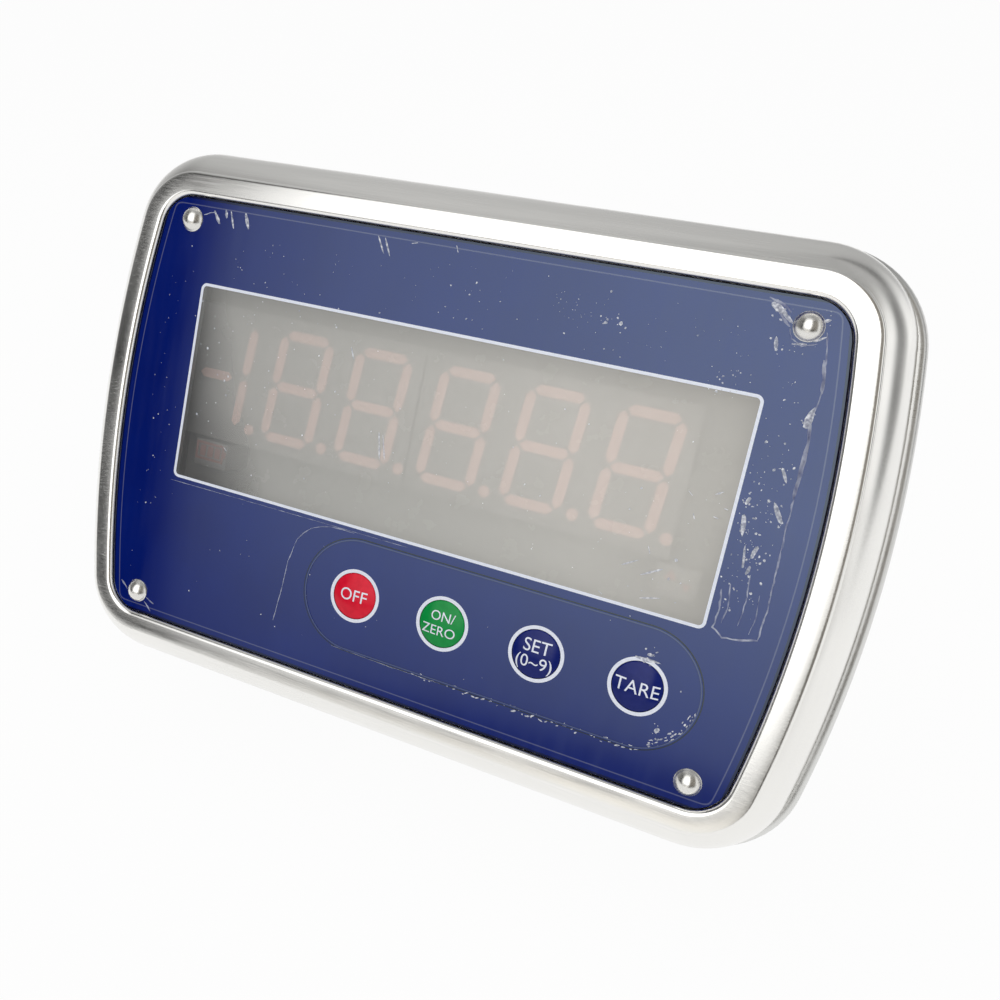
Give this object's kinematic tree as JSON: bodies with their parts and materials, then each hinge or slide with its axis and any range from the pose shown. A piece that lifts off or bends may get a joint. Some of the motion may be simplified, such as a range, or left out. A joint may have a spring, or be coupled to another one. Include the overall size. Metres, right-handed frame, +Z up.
{
  "type": "weighing indicator",
  "caption": "Stainless weighing indicator: bowed blue panel, smoky display window and round keys in a flared housing on a tilt bracket.",
  "frame": {"origin": "centre of the bracket's four bolt holes on the underside of its base", "axes": "+Z up from the base, +X to the right of someone who reads the display, -Y towards them"},
  "size_m": [0.2216, 0.1237, 0.159],
  "materials": {
    "stainless": "satin, fine brushed grain",
    "bright_steel": "polished",
    "zinc_steel": "zinc plated",
    "blue_film": "glossy printed film",
    "aluminium": "mill",
    "smoky_window": "glossy, smoky",
    "red_key": "glossy",
    "green_key": "glossy",
    "blue_key": "glossy",
    "display_grey": "matte",
    "circuit_board": "solder mask",
    "chip_plastic": "matte",
    "terminal_plastic": "moulded",
    "black_rubber": "matte",
    "black_nylon": "moulded grain",
    "grey_nylon": "moulded",
    "ribbon_grey": "satin",
    "battery_wrap": "shrink wrap",
    "core_steel": "varnished laminations",
    "copper_coil": "enamelled wire"
  },
  "bodies": {
    "bracket": {"tilt_bracket": "stainless"},
    "housing": {"pivot_studs": "zinc_steel", "pivot_washers": "black_rubber", "front_shell": "stainless", "clinch_nuts": "zinc_steel", "rear_shell": "stainless", "shell_gasket": "black_rubber", "shell_screws": "zinc_steel", "overlay": "blue_film", "panel_plate": "aluminium", "panel_gasket": "black_rubber", "window_lens": "smoky_window", "panel_screws": "bright_steel", "panel_nuts": "zinc_steel", "key_board": "circuit_board", "key_switches": "chip_plastic", "key_board_spacers": "zinc_steel", "key_board_screws": "zinc_steel", "led_module_left": "display_grey", "led_module_right": "display_grey", "indicator_lamps": "display_grey", "display_board": "circuit_board", "display_chips": "chip_plastic", "display_board_spacers": "zinc_steel", "display_board_screws": "zinc_steel", "main_board": "circuit_board", "main_board_chips": "chip_plastic", "main_board_connectors": "terminal_plastic", "shield_can": "zinc_steel", "main_board_spacers": "zinc_steel", "main_board_screws": "zinc_steel", "ribbon_cable": "ribbon_grey", "ribbon_plugs": "chip_plastic", "battery_pack": "battery_wrap", "battery_strap": "zinc_steel", "battery_strap_screws": "zinc_steel", "transformer_core": "core_steel", "transformer_coil": "copper_coil", "transformer_screws": "zinc_steel", "gland_bodies": "grey_nylon", "gland_washers": "black_rubber", "gland_seals": "black_rubber", "gland_caps": "grey_nylon", "gland_lock_nuts": "grey_nylon"},
    "knob_left": {"knob_left": "black_nylon"},
    "knob_right": {"knob_right": "black_nylon"},
    "key_red": {"key_red": "red_key"},
    "key_green": {"key_green": "green_key"},
    "key_blue_left": {"key_blue_left": "blue_key"},
    "key_blue_right": {"key_blue_right": "blue_key"}
  },
  "joints": [
    {"name": "housing_tilt", "type": "hinge", "parent": "bracket", "child": "housing", "pos_m": [0, -0.017, 0.082], "axis": [-1, 0, 0], "range_deg": [-33.5, 56.5]},
    {"name": "knob_left_turn", "type": "hinge", "parent": "housing", "child": "knob_left", "pos_m": [-0.104, -0.017, 0.082], "axis": [-1, 0, 0], "range_deg": [0, 270]},
    {"name": "knob_right_turn", "type": "hinge", "parent": "housing", "child": "knob_right", "pos_m": [0.104, -0.017, 0.082], "axis": [1, 0, 0], "range_deg": [0, 270]},
    {"name": "key_red_press", "type": "slide", "parent": "housing", "child": "key_red", "axis": [0, 0.8339, -0.5519], "range_m": [0, 0.0005], "stiffness_N_per_m": 3000},
    {"name": "key_green_press", "type": "slide", "parent": "housing", "child": "key_green", "axis": [0, 0.8339, -0.5519], "range_m": [0, 0.0005], "stiffness_N_per_m": 3000},
    {"name": "key_blue_left_press", "type": "slide", "parent": "housing", "child": "key_blue_left", "axis": [0, 0.8339, -0.5519], "range_m": [0, 0.0005], "stiffness_N_per_m": 3000},
    {"name": "key_blue_right_press", "type": "slide", "parent": "housing", "child": "key_blue_right", "axis": [0, 0.8339, -0.5519], "range_m": [0, 0.0005], "stiffness_N_per_m": 3000}
  ]
}
